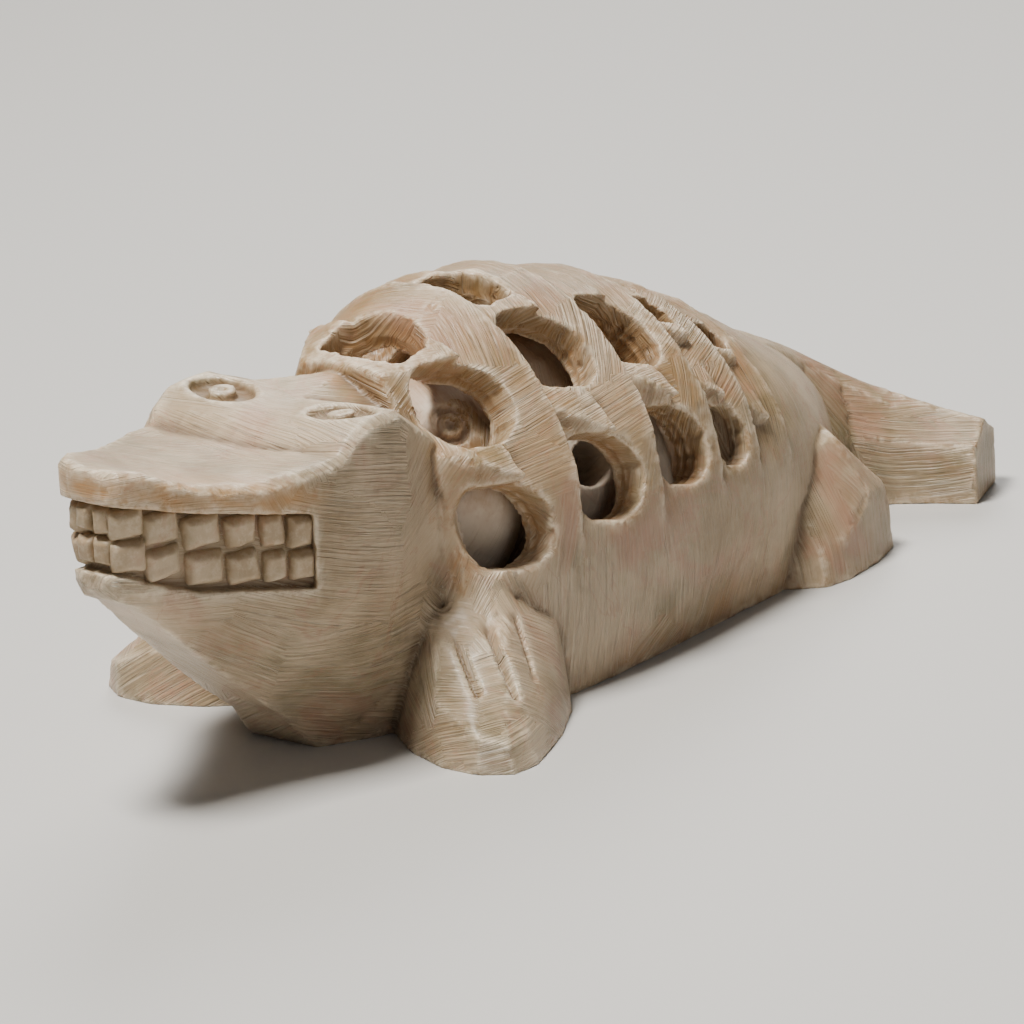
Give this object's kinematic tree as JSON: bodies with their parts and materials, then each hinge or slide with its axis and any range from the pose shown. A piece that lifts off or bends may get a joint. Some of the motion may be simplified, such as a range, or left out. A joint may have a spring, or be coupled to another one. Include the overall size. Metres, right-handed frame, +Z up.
{
  "type": "crocodile figurine",
  "caption": "Carved soapstone crocodile with bared teeth, broad splayed feet and a hollow pierced shell of overlapping scales around a small animal inside",
  "frame": {"origin": "middle of the footprint, on the flat underside", "axes": "Y along the body with the head at -Y and the tail at +Y, X across with the animal's left side at +X, Z up"},
  "size_m": [0.0654, 0.1562, 0.0494],
  "materials": {
    "soapstone": "waxed, filed and scratched"
  },
  "bodies": {
    "root": {"crocodile": "soapstone"}
  },
  "joints": []
}
